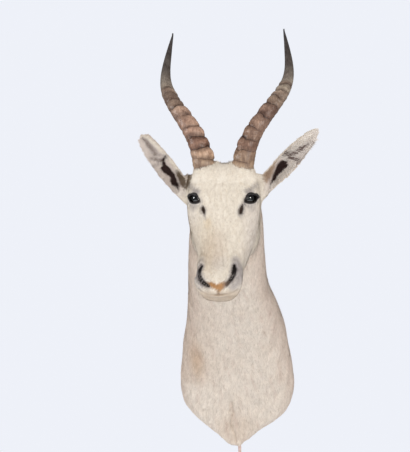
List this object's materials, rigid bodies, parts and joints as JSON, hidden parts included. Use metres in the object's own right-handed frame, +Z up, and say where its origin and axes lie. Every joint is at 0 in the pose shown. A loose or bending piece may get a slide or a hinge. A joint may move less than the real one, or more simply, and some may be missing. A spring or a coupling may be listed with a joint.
{
  "type": "blesbok shoulder mount",
  "caption": "White blesbok taxidermy shoulder mount with ringed lyre-shaped horns, spread ears, glass eyes and a wall board with a toothed hanger.",
  "frame": {"origin": "on the back face of the wall board, on the middle line, 6 mm under the hanger's recess", "axes": "+Y into the wall, so the animal faces -Y; +Z up; +X to the right as one looks at the face"},
  "size_m": [0.3701, 0.4416, 0.9602],
  "materials": {
    "hide": "short cream-white hair over tanned skin",
    "horn": "ringed keratin, brown at the base and near black at the tip",
    "eye_glass": "polished dark glass",
    "board_wood": "plain sanded pine",
    "hanger_steel": "zinc-plated"
  },
  "bodies": {
    "root": {"cape": "hide", "hide_strip": "hide", "horn_left": "horn", "horn_right": "horn", "eye_left": "eye_glass", "eye_right": "eye_glass", "backboard": "board_wood", "hanger": "hanger_steel", "hanger_screw_left": "hanger_steel", "hanger_screw_right": "hanger_steel"}
  },
  "joints": []
}
